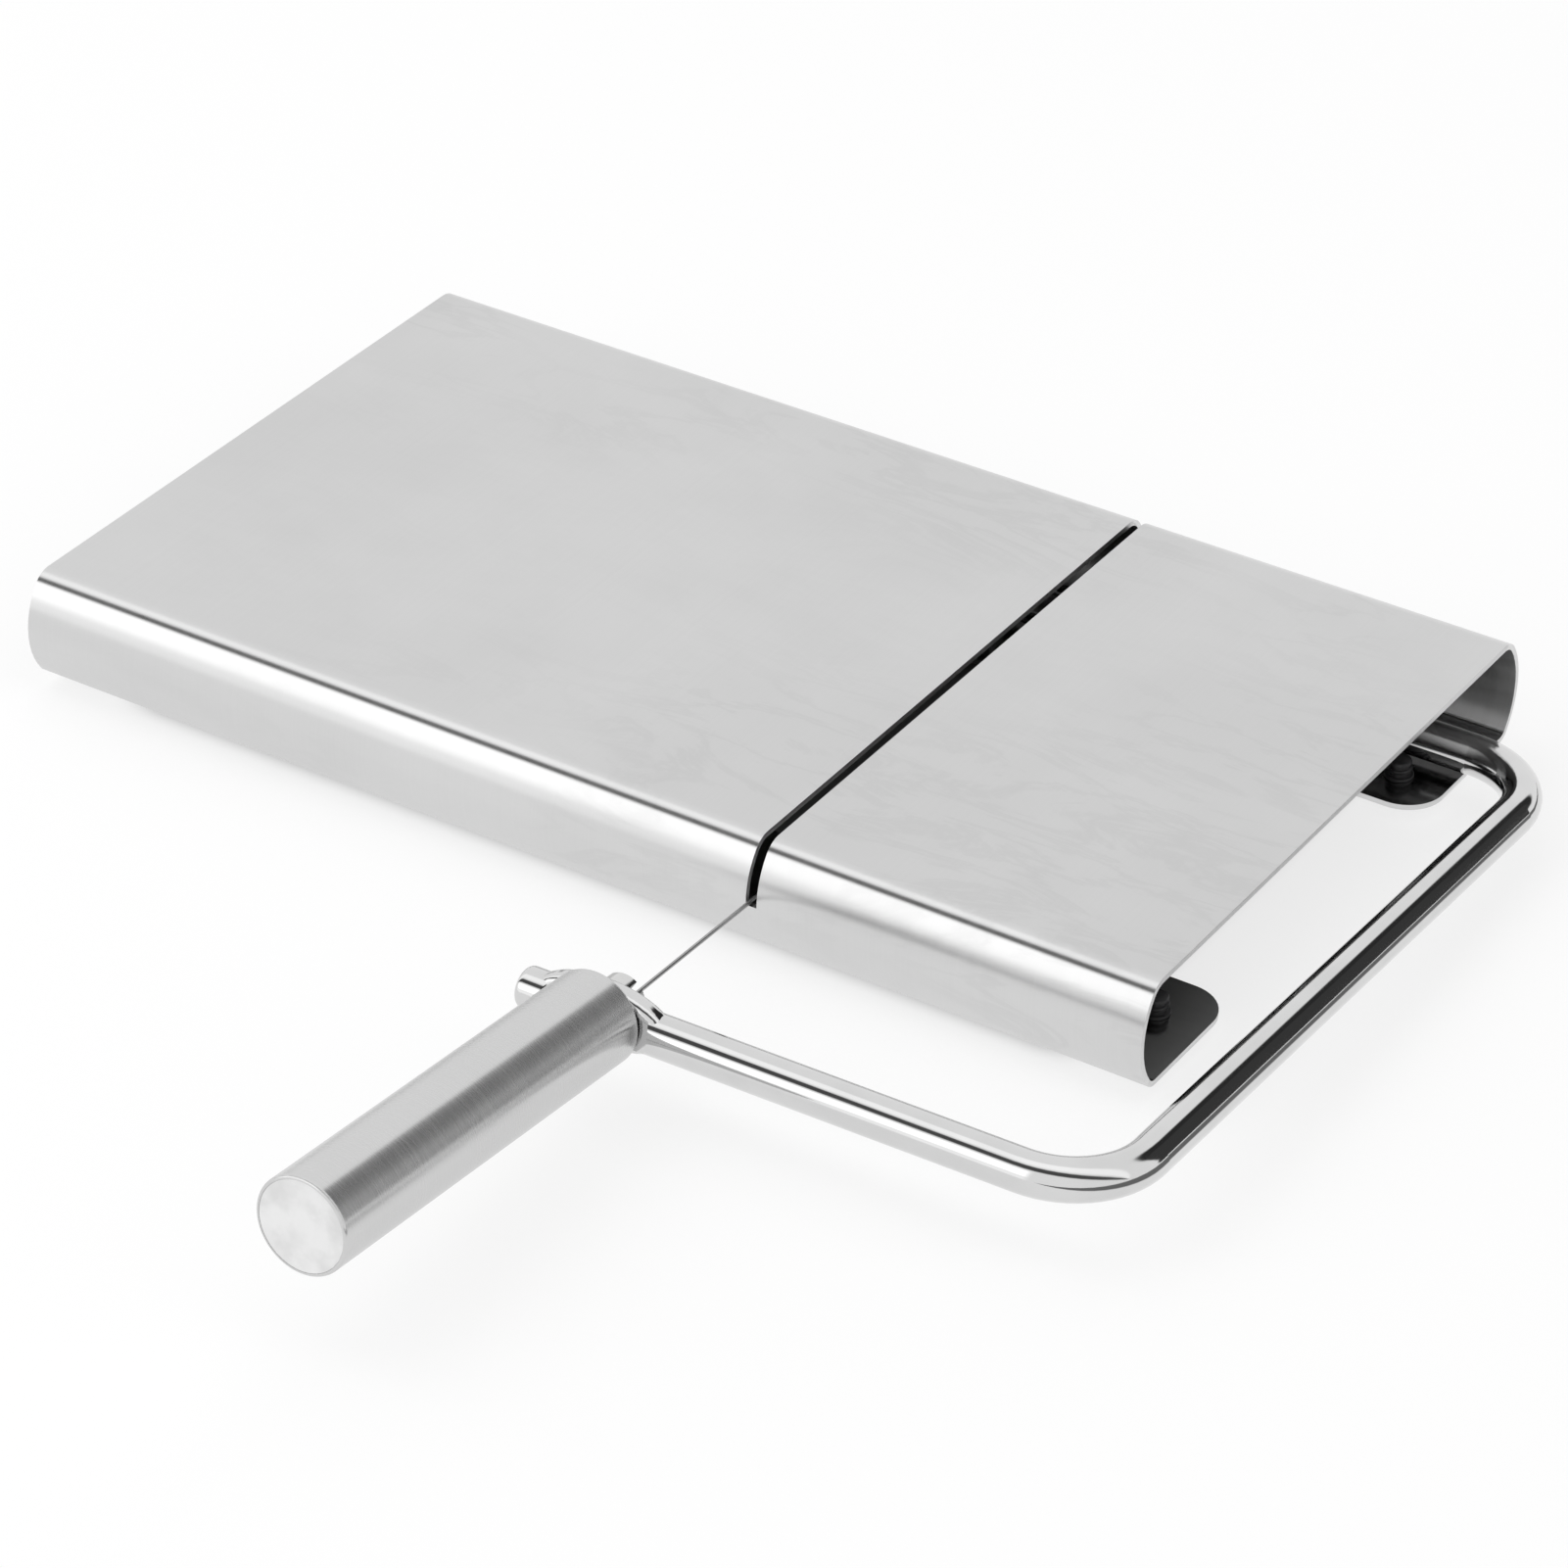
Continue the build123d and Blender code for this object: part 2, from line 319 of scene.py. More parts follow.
@dataclass
class GroupBench(Bench):
    """A bench for a node group, with its named inputs and outputs."""

    inlet: bpy.types.Node
    outlet: bpy.types.Node

    @classmethod
    def start(
        cls, name: str, numbers: dict[str, float], outputs: tuple[str, ...]
    ) -> "GroupBench":
        """Makes a group whose first input is a vector.

        Args:
            name: the group's name.
            numbers: its other inputs and their defaults.
            outputs: its outputs, which are all masks or values.

        Returns:
            The bench of the new group.
        """
        tree = bpy.data.node_groups.new(name, "ShaderNodeTree")
        tree.interface.new_socket("Vector", in_out="INPUT", socket_type=VECTOR)
        for label, default in numbers.items():
            socket = tree.interface.new_socket(label, in_out="INPUT", socket_type=FLOAT)
            socket.default_value = default
        for label in outputs:
            tree.interface.new_socket(label, in_out="OUTPUT", socket_type=FLOAT)
        return cls(tree, tree.nodes.new("NodeGroupInput"), tree.nodes.new("NodeGroupOutput"))

    def taken(self, label: str) -> Socket:
        """What comes in under a name."""
        return self.inlet.outputs[label]

    def give(self, label: str, source: Socket) -> None:
        """Sends a value out under a name."""
        self.feed(self.outlet.inputs[label], source)


@dataclass
class MaterialBench(Bench):
    """A bench for a material, with its shader and its Object coordinates."""

    material: bpy.types.Material
    shader: bpy.types.Node
    spot: Socket

    @classmethod
    def start(cls, name: str) -> "MaterialBench":
        """Starts a material.

        Args:
            name: the material's name.

        Returns:
            The bench of the new material.
        """
        material = bpy.data.materials.new(name)
        material.use_nodes = True
        tree = material.node_tree
        spot = tree.nodes.new("ShaderNodeTexCoord").outputs["Object"]
        return cls(tree, material, tree.nodes["Principled BSDF"], spot)

    def shine(self, label: str, source: object) -> None:
        """Feeds one of the shader's inputs."""
        self.feed(self.shader.inputs[label], source)

    def bump(self, height: Socket, strength: float, depth: float) -> None:
        """Feeds a height to the shader's normal.

        Args:
            height: the height, between 0 and 1.
            strength: the bump's strength.
            depth: the real depth of the bump, in metres.
        """
        node = self.add("ShaderNodeBump")
        for label, setting in (("Height", height), ("Strength", strength), ("Distance", depth)):
            self.feed(node.inputs[label], setting)
        self.shine("Normal", node.outputs["Normal"])


# ---------------------------------------------------------------- shared effects


@dataclass(frozen=True)
class Streaks:
    """Fine brushed streaks: long thin noise at two scales."""

    fine: Noise = Noise(detail=3.0, roughness=0.7)
    coarse: Noise = Noise(scale=0.22, detail=2.0, roughness=0.6)
    coarse_share: float = 0.5
    contrast: Span = (0.3, 0.7)

    def make(self) -> bpy.types.NodeTree:
        """Makes the group.

        Returns:
            The group; its Vector is already stretched along the streaks.
        """
        bench = GroupBench.start(
            "brushed_streaks", {"Coarseness": self.coarse_share}, ("Streaks",)
        )
        vector = bench.taken("Vector")
        fine = bench.noise(vector, self.fine)
        lean = bench.math("SUBTRACT", bench.noise(vector, self.coarse), fine)
        streaks = bench.math("MULTIPLY_ADD", lean, bench.taken("Coarseness"), fine)
        bench.give("Streaks", bench.rise(streaks, *self.contrast))
        return bench.tree


@dataclass(frozen=True)
class Handling:
    """Faint clouds of handling marks, sparse short scuffs and wiped smears."""

    cloud: Noise = Noise(scale=25.0, detail=4.0, roughness=0.55)
    cloud_edge: Span = (0.35, 0.68)
    scuff_turn: Triple = (0.0, 0.0, 0.5)
    scuff_stretch: Triple = (60.0, 900.0, 300.0)
    scuff: Noise = Noise(detail=1.0)
    scuff_edge: Span = (0.68, 0.74)
    scuffed_area: Noise = Noise(scale=40.0, detail=1.0)
    scuffed_edge: Span = (0.55, 0.7)
    wipe_turn: Triple = (0.0, 0.0, 0.12)
    wipe_stretch: Triple = (28.0, 95.0, 95.0)
    wipe: Noise = Noise(detail=6.0, roughness=0.62, distortion=0.9)
    wipe_middle: float = 0.5
    wipe_edge: Span = (0.0, 0.06)
    wiped_area: Noise = Noise(scale=14.0, detail=1.0)
    wiped_edge: Span = (0.45, 0.65)
    least_wiped: float = 0.15

    def make(self) -> bpy.types.NodeTree:
        """Makes the group.

        Returns:
            The group, with soft Clouds, thin Scuffs and long Wisps, all between 0 and 1.
        """
        bench = GroupBench.start(
            "handling_marks", {"Cloud Scale": self.cloud.scale}, ("Clouds", "Scuffs", "Wisps")
        )
        vector = bench.taken("Vector")
        clouds = bench.noise(vector, self.cloud, bench.taken("Cloud Scale"))
        bench.give("Clouds", bench.rise(clouds, *self.cloud_edge))
        bench.give("Scuffs", self.scuffs(bench, vector))
        bench.give("Wisps", self.wisps(bench, vector))
        return bench.tree

    def scuffs(self, bench: GroupBench, vector: Socket) -> Socket:
        """Short thin lines in a few places.

        Args:
            bench: the group's bench.
            vector: its coordinates.

        Returns:
            The scuffs' mask.
        """
        along = bench.place(vector, turn=self.scuff_turn, stretch=self.scuff_stretch)
        lines = bench.rise(bench.noise(along, self.scuff), *self.scuff_edge)
        where = bench.rise(bench.noise(vector, self.scuffed_area), *self.scuffed_edge)
        return bench.math("MULTIPLY", lines, where)

    def wisps(self, bench: GroupBench, vector: Socket) -> Socket:
        """Long smears that a cloth leaves, stronger in some places.

        Args:
            bench: the group's bench.
            vector: its coordinates.

        Returns:
            The smears' mask.
        """
        wiped = bench.place(vector, turn=self.wipe_turn, stretch=self.wipe_stretch)
        folds = bench.math("SUBTRACT", bench.noise(wiped, self.wipe), self.wipe_middle)
        ridges = bench.fall(bench.math("ABSOLUTE", folds), *self.wipe_edge)
        area = bench.noise(vector, self.wiped_area)
        where = bench.span(area, *self.wiped_edge, self.least_wiped, 1.0)
        return bench.math("MULTIPLY", ridges, where)


@dataclass(frozen=True)
class Mould:
    """The fine grain that a mould leaves on rubber and plastic, and dust that lies on it."""

    grain: Noise = Noise(scale=4000.0, detail=3.0, roughness=0.6)
    dust: Noise = Noise(scale=700.0, detail=4.0, roughness=0.7)
    dust_edge: Span = (0.52, 0.75)

    def make(self) -> bpy.types.NodeTree:
        """Makes the group.

        Returns:
            The group, with Grain and Dust, both between 0 and 1.
        """
        bench = GroupBench.start(
            "moulded_grain", {"Grain Scale": self.grain.scale}, ("Grain", "Dust")
        )
        vector = bench.taken("Vector")
        bench.give("Grain", bench.noise(vector, self.grain, bench.taken("Grain Scale")))
        bench.give("Dust", bench.rise(bench.noise(vector, self.dust), *self.dust_edge))
        return bench.tree


@dataclass(frozen=True)
class Effects:
    """The node groups that several materials share."""

    streaks: bpy.types.NodeTree = field(default_factory=Streaks().make)
    handling: bpy.types.NodeTree = field(default_factory=Handling().make)
    mould: bpy.types.NodeTree = field(default_factory=Mould().make)


# ---------------------------------------------------------------- finishes


def grey(tone: float) -> Color:
    """A neutral colour."""
    return (tone, tone, tone)


def shade(color: Color, factor: float = 1.0) -> tuple[float, float, float, float]:
    """A colour made darker or lighter, with an alpha of 1."""
    return tuple(min(1.0, part * factor) for part in color) + (1.0,)


@dataclass(frozen=True)
class BrushedSteel:
    """Steel with fine parallel streaks."""

    name: str
    color: Color
    roughness: float
    grain: Grain
    streak_depth: float = 0.05
    roughness_swing: float = 0.08
    bump: float = 0.06
    bump_depth: float = 0.00002
    cloud_scale: float = 25.0
    cloud_depth: float = 0.015
    wisp_depth: float = 0.0
    anisotropy: float = 0.0
    highlight_way: Triple = (1.0, 0.0, 0.0)
    centre: Triple = (0.0, 0.0, 0.0)
    pitch: float = 0.0
    ring_pace: float = 3800.0

    def make(self, effects: Effects) -> bpy.types.Material:
        """Builds the material.

        Args:
            effects: the shared node groups.

        Returns:
            The new material.
        """
        bench = MaterialBench.start(self.name)
        streaks = bench.use(effects.streaks, {"Vector": self.stretched(bench)})["Streaks"]
        marks = bench.use(
            effects.handling, {"Vector": bench.spot, "Cloud Scale": self.cloud_scale}
        )
        dark = shade(self.color, 1.0 - self.streak_depth)
        light = shade(self.color, 1.0 + self.streak_depth)
        brushed = bench.mix(streaks, dark, light)
        clouded = bench.math("MULTIPLY", marks["Clouds"], self.cloud_depth)
        smeared = bench.math("MULTIPLY_ADD", marks["Wisps"], self.wisp_depth, clouded)
        bench.shine("Base Color", bench.mix(smeared, brushed, BLACK))
        reach = self.roughness_swing / 2
        swing = bench.span(streaks, 0.0, 1.0, -reach, reach)
        worn = bench.math("MULTIPLY_ADD", marks["Clouds"], reach, swing)
        bench.shine("Roughness", bench.math("ADD", worn, self.roughness, clamp=True))
        bench.bump(streaks, self.bump, self.bump_depth)
        bench.shine("Metallic", 1.0)
        if self.anisotropy:
            bench.shine("Anisotropic", self.anisotropy)
            self.aim_highlight(bench)
        return bench.material

    def stretched(self, bench: MaterialBench) -> Socket:
        """Stretches the coordinates the way that this surface was brushed.

        Args:
            bench: the material's bench.

        Returns:
            The stretched coordinates.
        """
        turn = (self.pitch, 0.0, 0.0)
        local = bench.place(bench.spot, self.centre, turn, self.grain.value)
        if self.grain is not Grain.TURNED_FACE:
            return local
        x, _, z = bench.split(local)
        radius = bench.add("ShaderNodeVectorMath", operation="LENGTH")
        bench.feed(radius.inputs[0], bench.join(x, 0.0, z))
        return bench.join(bench.math("MULTIPLY", radius.outputs["Value"], self.ring_pace))

    def aim_highlight(self, bench: MaterialBench) -> None:
        """Draws the highlights out square to the brushing, also when the piece moves.

        Args:
            bench: the material's bench.
        """
        world_way = bench.add(
            "ShaderNodeVectorTransform",
            vector_type="VECTOR",
            convert_from="OBJECT",
            convert_to="WORLD",
        )
        bench.feed(world_way.inputs[0], bench.join(*self.highlight_way))
        bench.shine("Tangent", world_way.outputs[0])


@dataclass(frozen=True)
class PolishedSteel:
    """Bright polished steel with faint waves, smears and hairline scuffs."""

    name: str
    color: Color
    roughness: float
    waves: Noise = Noise(scale=160.0, detail=1.0)
    wave_strength: float = 0.04
    wave_depth: float = 0.0002
    cloud_scale: float = 90.0
    cloud_shade: float = 0.95
    cloud_roughness: float = 0.04
    scuff_roughness: float = 0.08

    def make(self, effects: Effects) -> bpy.types.Material:
        """Builds the material.

        Args:
            effects: the shared node groups.

        Returns:
            The new material.
        """
        bench = MaterialBench.start(self.name)
        marks = bench.use(
            effects.handling, {"Vector": bench.spot, "Cloud Scale": self.cloud_scale}
        )
        clouded = shade(self.color, self.cloud_shade)
        bench.shine("Base Color", bench.mix(marks["Clouds"], shade(self.color), clouded))
        dull = bench.math("MULTIPLY_ADD", marks["Clouds"], self.cloud_roughness, self.roughness)
        scuffed = (marks["Scuffs"], self.scuff_roughness, dull)
        bench.shine("Roughness", bench.math("MULTIPLY_ADD", *scuffed, clamp=True))
        bench.bump(bench.noise(bench.spot, self.waves), self.wave_strength, self.wave_depth)
        bench.shine("Metallic", 1.0)
        return bench.material


@dataclass(frozen=True)
class Moulded:
    """Rubber or plastic as it leaves the mould, with a little dust."""

    name: str
    color: Color
    roughness: float
    dust_share: float = 0.3
    dust_lift: float = 0.05
    grain_start: float = -0.07
    grain_swing: float = 0.15
    bump: float = 0.3
    bump_depth: float = 0.00005

    def make(self, effects: Effects) -> bpy.types.Material:
        """Builds the material.

        Args:
            effects: the shared node groups.

        Returns:
            The new material.
        """
        bench = MaterialBench.start(self.name)
        mould = bench.use(effects.mould, {"Vector": bench.spot})
        dust = bench.math("MULTIPLY", mould["Dust"], self.dust_share)
        pale = shade(tuple(part + self.dust_lift for part in self.color))
        bench.shine("Base Color", bench.mix(dust, shade(self.color), pale))
        grained = (mould["Grain"], self.grain_swing, self.roughness + self.grain_start)
        bench.shine("Roughness", bench.math("MULTIPLY_ADD", *grained, clamp=True))
        bench.bump(mould["Grain"], self.bump, self.bump_depth)
        return bench.material


def dress(piece: bpy.types.Object, material: bpy.types.Material) -> None:
    """Gives a piece one material all over.

    Args:
        piece: the piece.
        material: its material.
    """
    piece.data.materials.clear()
    piece.data.materials.append(material)
    LOG.info("dressed %s in %s", piece.name, material.name)


# ---------------------------------------------------------------- workshop


def clear_selection() -> None:
    """Leaves object mode with nothing selected."""
    if bpy.context.mode != "OBJECT":
        bpy.ops.object.mode_set(mode="OBJECT")
    bpy.ops.object.select_all(action="DESELECT")


def take_up(piece: bpy.types.Object) -> None:
    """Makes one piece the only selected and active one.

    Args:
        piece: the piece.
    """
    clear_selection()
    piece.select_set(True)
    bpy.context.view_layer.objects.active = piece


def put_place_into_mesh() -> None:
    """Leaves the selected piece where it is, with its origin at the world's."""
    bpy.ops.object.transform_apply(location=True, rotation=True, scale=True)


def finish_mesh(smooth_degrees: float) -> None:
    """Leaves edit mode and smooths the shading over all but sharp edges.

    Args:
        smooth_degrees: the greatest angle that is smoothed over.
    """
    bpy.ops.object.mode_set(mode="OBJECT")
    bpy.ops.object.shade_smooth_by_angle(angle=math.radians(smooth_degrees))


def soft_edged_copy(
    node: bpy.types.Object,
    name: str,
    width: float,
    sharp_degrees: float,
    smooth_degrees: float = 40.0,
) -> bpy.types.Object:
    """Copies a CAD node's mesh, merges it and rounds its sharp edges.

    Args:
        node: the CAD node.
        name: the new piece's name.
        width: how far from each edge the rounding starts, in metres.
        sharp_degrees: the least angle of an edge that is rounded.
        smooth_degrees: the greatest angle that is shaded smooth.

    Returns:
        The new piece.
    """
    piece = bpy.data.objects.new(name, node.data.copy())
    bpy.context.scene.collection.objects.link(piece)
    take_up(piece)
    bpy.ops.mesh.customdata_custom_splitnormals_clear()
    bpy.ops.object.mode_set(mode="EDIT")
    bpy.ops.mesh.select_all(action="SELECT")
    bpy.ops.mesh.remove_doubles(threshold=MERGE_METRES)
    bpy.ops.mesh.dissolve_limited(angle_limit=math.radians(FLAT_DEGREES))
    bpy.ops.mesh.select_all(action="DESELECT")
    bpy.ops.mesh.select_mode(type="EDGE")
    bpy.ops.mesh.edges_select_sharp(sharpness=math.radians(sharp_degrees))
    bpy.ops.mesh.bevel(
        offset=width, offset_type="OFFSET", segments=2, profile=0.5, clamp_overlap=True
    )
    finish_mesh(smooth_degrees)
    even = piece.modifiers.new("even_faces", "WEIGHTED_NORMAL")
    even.keep_sharp = True
    take_up(piece)
    bpy.ops.object.modifier_apply(modifier=even.name)
    return piece


def turned_piece(
    name: str, rings: Rings, sides: int, smooth_degrees: float = 35.0
) -> bpy.types.Object:
    """Raises a turned body about Z, ring by ring, from a filled circle.

    Args:
        name: the new piece's name.
        rings: radius and height of each ring, from the bottom up, in metres.
        sides: how many sides the rings have.
        smooth_degrees: the greatest angle that is shaded smooth.

    Returns:
        The new piece, standing at the origin.
    """
    clear_selection()
    radius, height = rings[0]
    bpy.ops.mesh.primitive_circle_add(
        vertices=sides, radius=radius, fill_type="NGON", location=(0.0, 0.0, height)
    )
    piece = bpy.context.object
    piece.name = name
    put_place_into_mesh()
    bpy.ops.object.mode_set(mode="EDIT")
    bpy.ops.mesh.select_all(action="SELECT")
    for next_radius, next_height in rings[1:]:
        rise = {"value": (0.0, 0.0, next_height - height)}
        bpy.ops.mesh.extrude_region_move(TRANSFORM_OT_translate=rise)
        growth = next_radius / radius
        bpy.ops.transform.resize(
            value=(growth, growth, 1.0), center_override=(0.0, 0.0, next_height)
        )
        radius, height = next_radius, next_height
    bpy.ops.mesh.select_all(action="SELECT")
    bpy.ops.mesh.remove_doubles(threshold=MERGE_METRES)
    bpy.ops.mesh.normals_make_consistent(inside=False)
    finish_mesh(smooth_degrees)
    return piece


def set_down(piece: bpy.types.Object, place: Triple, turn_x: float = 0.0) -> None:
    """Turns a piece about X, moves it, and puts its place into its mesh.

    Args:
        piece: the piece.
        place: where its origin goes, in metres.
        turn_x: turn about X, in radians.
    """
    take_up(piece)
    piece.rotation_euler = (turn_x, 0.0, 0.0)
    piece.location = place
    put_place_into_mesh()


# ---------------------------------------------------------------- the slicer


@dataclass
class Board:
    """The folded sheet, its feet and its two hinge brackets."""

    nodes: dict[str, bpy.types.Object]
    effects: Effects
    edge_round: float = 0.00022
    sharp_degrees: float = 50.0
    flange_ceiling: float = 0.0045
    flange_upward: float = 0.8
    feet: tuple[str, ...] = (
        "foot_front_left",
        "foot_front_right",
        "foot_rear_left",
        "foot_rear_right",
    )
    brackets: tuple[str, ...] = ("hinge_bracket_inner", "hinge_bracket_outer")
    foot_sides: int = 48
    # The pad, the stem through the flange, the collar and the head with its two ribs
    foot_rings: Rings = (
        (0.0036, 0.0),
        (0.0042, 0.00018),
        (0.0045, 0.0007),
        (0.0045, 0.0022),
        (0.00435, 0.00243),
        (0.0017, 0.00243),
        (0.0017, 0.00343),
        (0.0024, 0.00343),
        (0.0025, 0.00352),
        (0.0025, 0.00382),
        (0.0024, 0.00393),
        (0.00195, 0.00402),
        (0.0019, 0.0046),
        (0.0021, 0.00478),
        (0.0022, 0.00495),
        (0.0022, 0.0052),
        (0.00208, 0.00534),
        (0.00178, 0.00542),
        (0.00174, 0.00588),
        (0.00205, 0.00606),
        (0.00205, 0.00634),
        (0.00188, 0.00662),
        (0.0015, 0.00678),
        (0.0008, 0.00683),
    )

    def build(self) -> None:
        """Makes and dresses the sheet and the feet, and dresses the brackets."""
        self.make_shell()
        self.dress_brackets()
        self.make_feet()

    def make_shell(self) -> None:
        """Makes the folded sheet, its cut edges lightly rounded, brushed across its deck."""
        node = self.nodes["board_shell"]
        shell = soft_edged_copy(node, "folded_sheet", self.edge_round, self.sharp_degrees)
        brushed = BrushedSteel(
            "brushed_board",
            color=grey(0.69),
            roughness=0.3,
            grain=Grain.ACROSS_BOARD,
            streak_depth=0.014,
            roughness_swing=0.03,
            bump=0.012,
            cloud_depth=0.022,
            wisp_depth=0.045,
            anisotropy=0.9,
        )
        dress(shell, brushed.make(self.effects))
        self.dress_flange_tops(shell)
        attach(shell, "board")
        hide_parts("board_shell")

    def dress_flange_tops(self, shell: bpy.types.Object) -> None:
        """Leaves the upper side of the two flanges unbrushed, as it was rolled, and darker: the
        darker grey is painted shade from the deck above.

        Args:
            shell: the folded sheet.
        """
        # The grey of 0.36 is painted shade: the flange tops lie under the deck, whose dark
        # underside they would reflect.
        rolled = BrushedSteel(
            "flange_painted_shade",
            color=grey(0.36),
            roughness=0.16,
            grain=Grain.ROLLED,
            streak_depth=0.03,
            roughness_swing=0.04,
            bump=0.01,
        )
        shell.data.materials.append(rolled.make(self.effects))
        shaded_flange_index = len(shell.data.materials) - 1
        for face in shell.data.polygons:
            if face.center.z < self.flange_ceiling and face.normal.z > self.flange_upward:
                face.material_index = shaded_flange_index

    def dress_brackets(self) -> None:
        """Dresses the two angle brackets in plain rolled steel."""
        rolled = BrushedSteel(
            "rolled_brackets", color=grey(0.5), roughness=0.4, grain=Grain.ROLLED
        )
        bracket_steel = rolled.make(self.effects)
        for name in self.brackets:
            dress(self.nodes[name], bracket_steel)

    def make_feet(self) -> None:
        """Makes one ribbed push-in foot and copies it to each of the four places."""
        rubber = Moulded("foot_rubber", color=(0.014, 0.014, 0.015), roughness=0.42)
        foot_rubber = rubber.make(self.effects)
        pattern = turned_piece("foot_pattern", self.foot_rings, self.foot_sides)
        for name in self.feet:
            low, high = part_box(name)
            foot = pattern.copy()
            foot.data = pattern.data.copy()
            foot.name = "ribbed_" + name
            bpy.context.scene.collection.objects.link(foot)
            set_down(foot, ((low[0] + high[0]) / 2, (low[1] + high[1]) / 2, low[2]))
            dress(foot, foot_rubber)
            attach(foot, "board")
            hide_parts(name)
        bpy.data.objects.remove(pattern, do_unlink=True)


@dataclass
class Bow:
    """The bent rod with its pressed eye, its retaining rings and the handle's washer."""

    nodes: dict[str, bpy.types.Object]
    effects: Effects

    def build(self) -> None:
        """Dresses the rod, the rings and the washer."""
        finishes = {
            "bow_rod": PolishedSteel("polished_rod", color=grey(0.67), roughness=0.06),
            "retaining_rings": PolishedSteel("ring_steel", color=grey(0.5), roughness=0.25),
            "thrust_washer": Moulded("washer_plastic", color=grey(0.05), roughness=0.5),
        }
        for name, finish in finishes.items():
            dress(self.nodes[name], finish.make(self.effects))


@dataclass
class Tensioner:
    """The slotted stud, the cutting wire and the wire's two barrels."""

    nodes: dict[str, bpy.types.Object]
    effects: Effects
    bright_pieces: tuple[str, ...] = ("tension_stud", "wire_barrel_front", "wire_barrel_rear")

    def build(self) -> None:
        """Dresses the stud, the wire and the barrels."""
        bright = PolishedSteel("bright_stud", color=(0.66, 0.66, 0.655), roughness=0.12)
        stud_steel = bright.make(self.effects)
        for name in self.bright_pieces:
            dress(self.nodes[name], stud_steel)
        drawn = BrushedSteel(
            "drawn_wire", color=grey(0.42), roughness=0.3, grain=Grain.DRAWN_WIRE
        )
        dress(self.nodes["cutting_wire"], drawn.make(self.effects))


@dataclass
class Handle:
    """The round handle: its tube, the plug inside and the outer disc."""

    nodes: dict[str, bpy.types.Object]
    effects: Effects
    axis_point: Triple = (0.03675, -0.104545, 0.015694)
    pitch_degrees: float = 5.65
    disc_start: float = 0.07525
    disc_sides: int = 128
    # The disc's rim, and its face, which dips a little and rises again to the middle
    disc_rings: Rings = (
        (0.00744, 0.0),
        (0.00744, 0.00191),
        (0.00741, 0.00196),
        (0.0073, 0.00197),
        (0.006, 0.00195),
        (0.0045, 0.00195),
        (0.003, 0.00197),
        (0.0006, 0.002),
    )

    def build(self) -> None:
        """Dresses the tube, turns and dresses the disc, and dresses the plug."""
        pitch = math.radians(self.pitch_degrees)
        out = Vector((0.0, -math.cos(pitch), math.sin(pitch)))
        self.dress_tube(pitch, out)
        self.make_disc(pitch, out)
        plug = PolishedSteel("plug_steel", color=grey(0.5), roughness=0.3)
        dress(self.nodes["handle_plug"], plug.make(self.effects))

    def dress_tube(self, pitch: float, out: Vector) -> None:
        """Dresses the tube in steel that is brushed round it.

        Args:
            pitch: how far the handle's axis is tipped up, in radians.
            out: the way that its axis points.
        """
        brushed = BrushedSteel(
            "brushed_handle",
            color=grey(0.64),
            roughness=0.26,
            grain=Grain.ROUND_HANDLE,
            streak_depth=0.02,
            roughness_swing=0.025,
            bump=0.002,
            anisotropy=0.88,
            highlight_way=tuple(out),
            centre=self.axis_point,
            pitch=pitch,
        )
        dress(self.nodes["handle_tube"], brushed.make(self.effects))

    def make_disc(self, pitch: float, out: Vector) -> None:
        """Turns the slightly crowned disc in the handle's outer end.

        Args:
            pitch: how far the handle's axis is tipped up, in radians.
            out: the way that its axis points.
        """
        disc = turned_piece("crowned_disc", self.disc_rings, self.disc_sides)
        seat = Vector(self.axis_point) + out * self.disc_start
        set_down(disc, tuple(seat), math.radians(90.0) - pitch)
        turned = BrushedSteel(
            "turned_disc",
            color=grey(0.84),
            roughness=0.2,
            grain=Grain.TURNED_FACE,
            streak_depth=0.015,
            bump=0.01,
            cloud_scale=150.0,
            cloud_depth=0.14,
            centre=self.axis_point,
            pitch=pitch,
        )
        dress(disc, turned.make(self.effects))
        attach(disc, "handle")
        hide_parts("handle_cap")


# ---------------------------------------------------------------- studio


